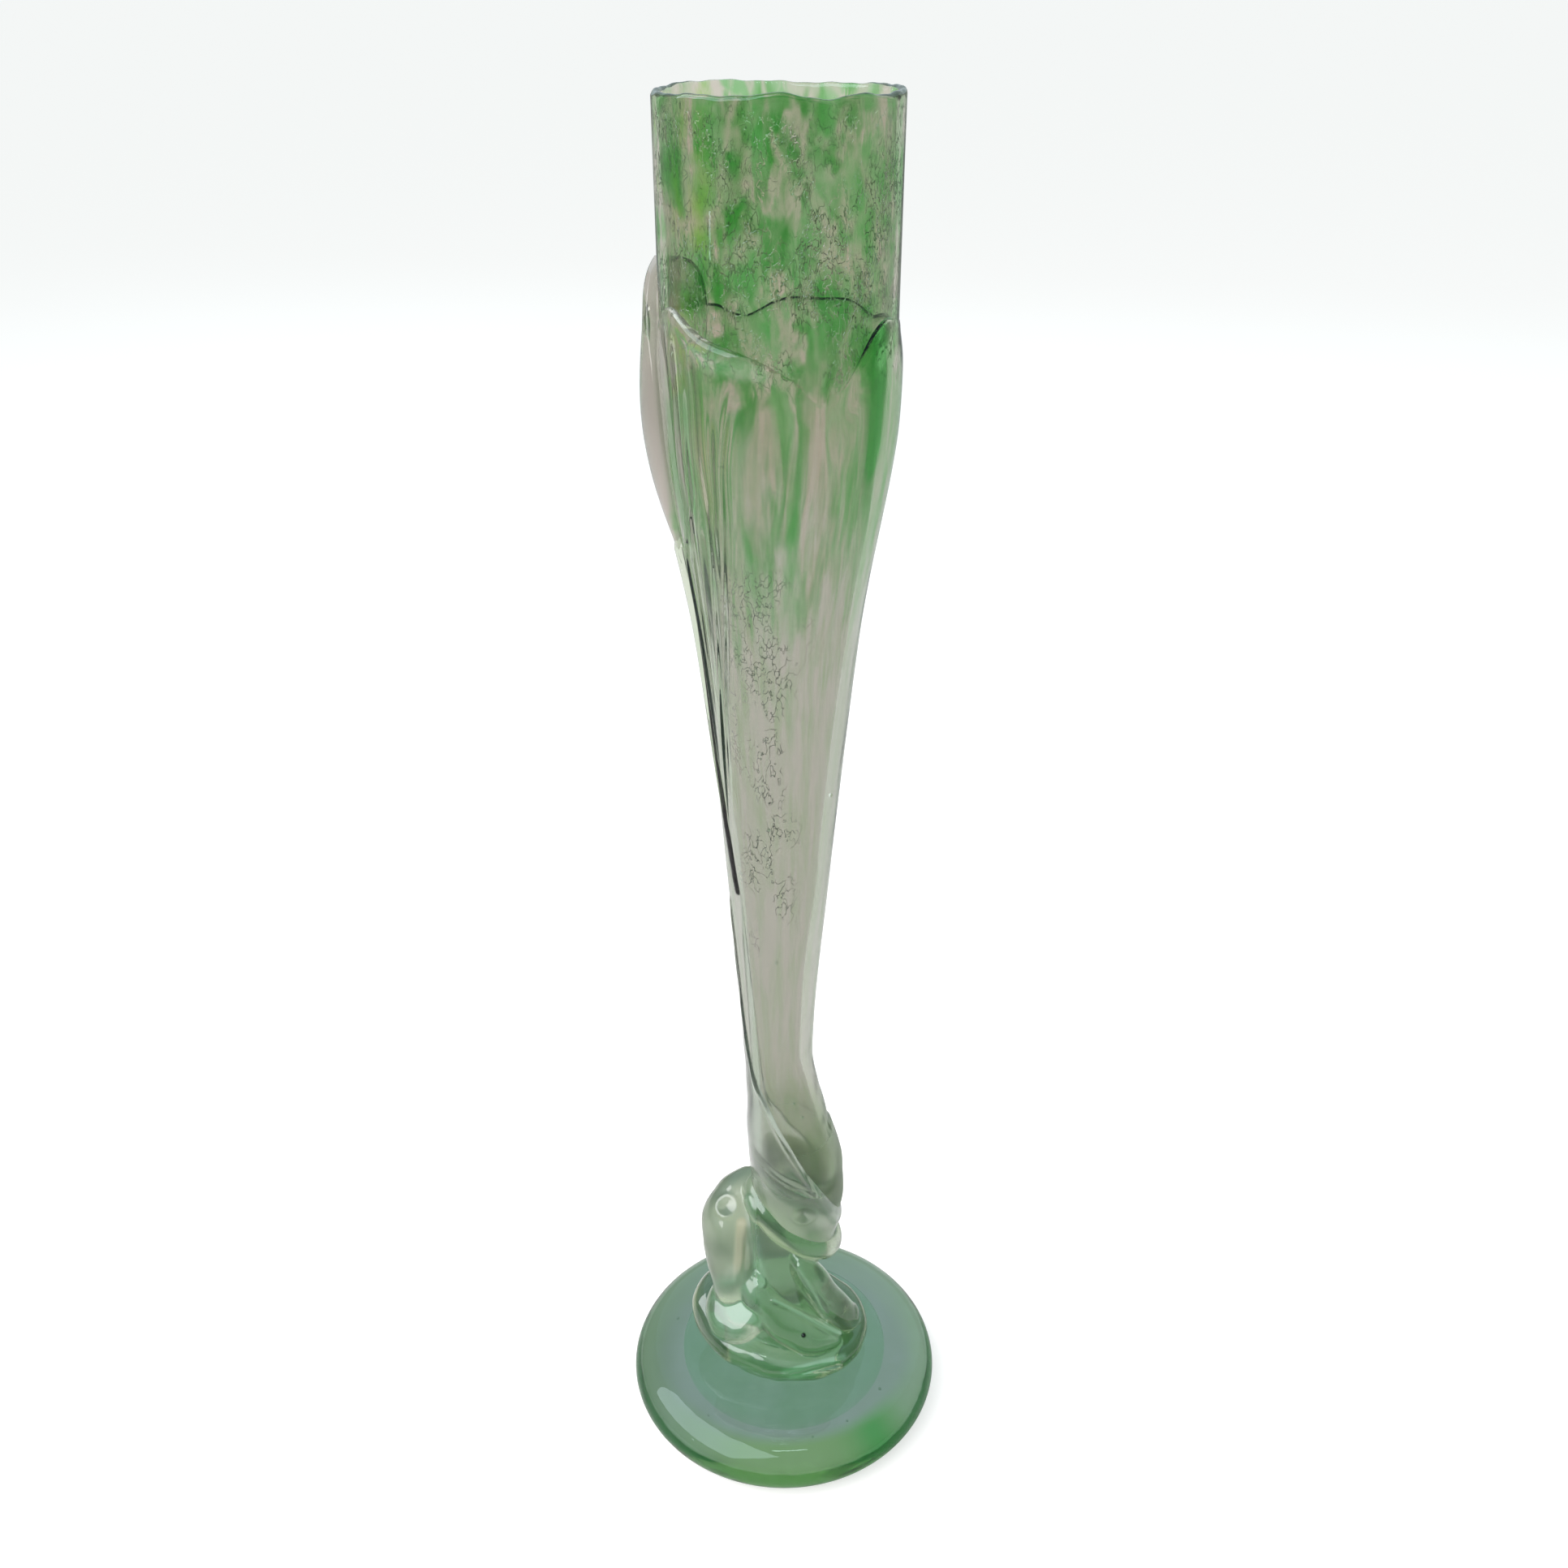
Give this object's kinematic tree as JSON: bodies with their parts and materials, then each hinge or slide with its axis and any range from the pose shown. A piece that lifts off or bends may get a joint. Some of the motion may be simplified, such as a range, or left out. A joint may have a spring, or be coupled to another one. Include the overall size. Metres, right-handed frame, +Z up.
{
  "type": "glass vase",
  "caption": "Tall slender blown glass vase with a mottled tube, a petal-lipped calyx, a side leaf and a coiled stem on a thick round foot.",
  "frame": {"origin": "centre of the round foot's underside, on the surface that the vase stands on", "axes": "+Z up along the vase, -Y to the front with the lip's valley, -X to the side with the leaf"},
  "size_m": [0.1, 0.1, 0.401],
  "materials": {
    "mottled_glass": "clear blown glass with stretched green flecks and fine wrinkles, fading to clear downwards",
    "clear_glass": "clear fire-polished glass with a faint grey tint",
    "pale_green_glass": "pale green fire-polished glass",
    "green_glass": "green cased glass"
  },
  "bodies": {
    "root": {"foot": "clear_glass", "foot_core": "green_glass", "vessel": "mottled_glass", "calyx": "clear_glass", "lower_wrap": "pale_green_glass", "stem_core": "pale_green_glass", "base_coil": "pale_green_glass", "upper_coil": "pale_green_glass", "left_loop": "clear_glass", "right_root": "pale_green_glass", "front_twist": "pale_green_glass", "side_leaf": "clear_glass", "side_trail": "clear_glass"}
  },
  "joints": []
}
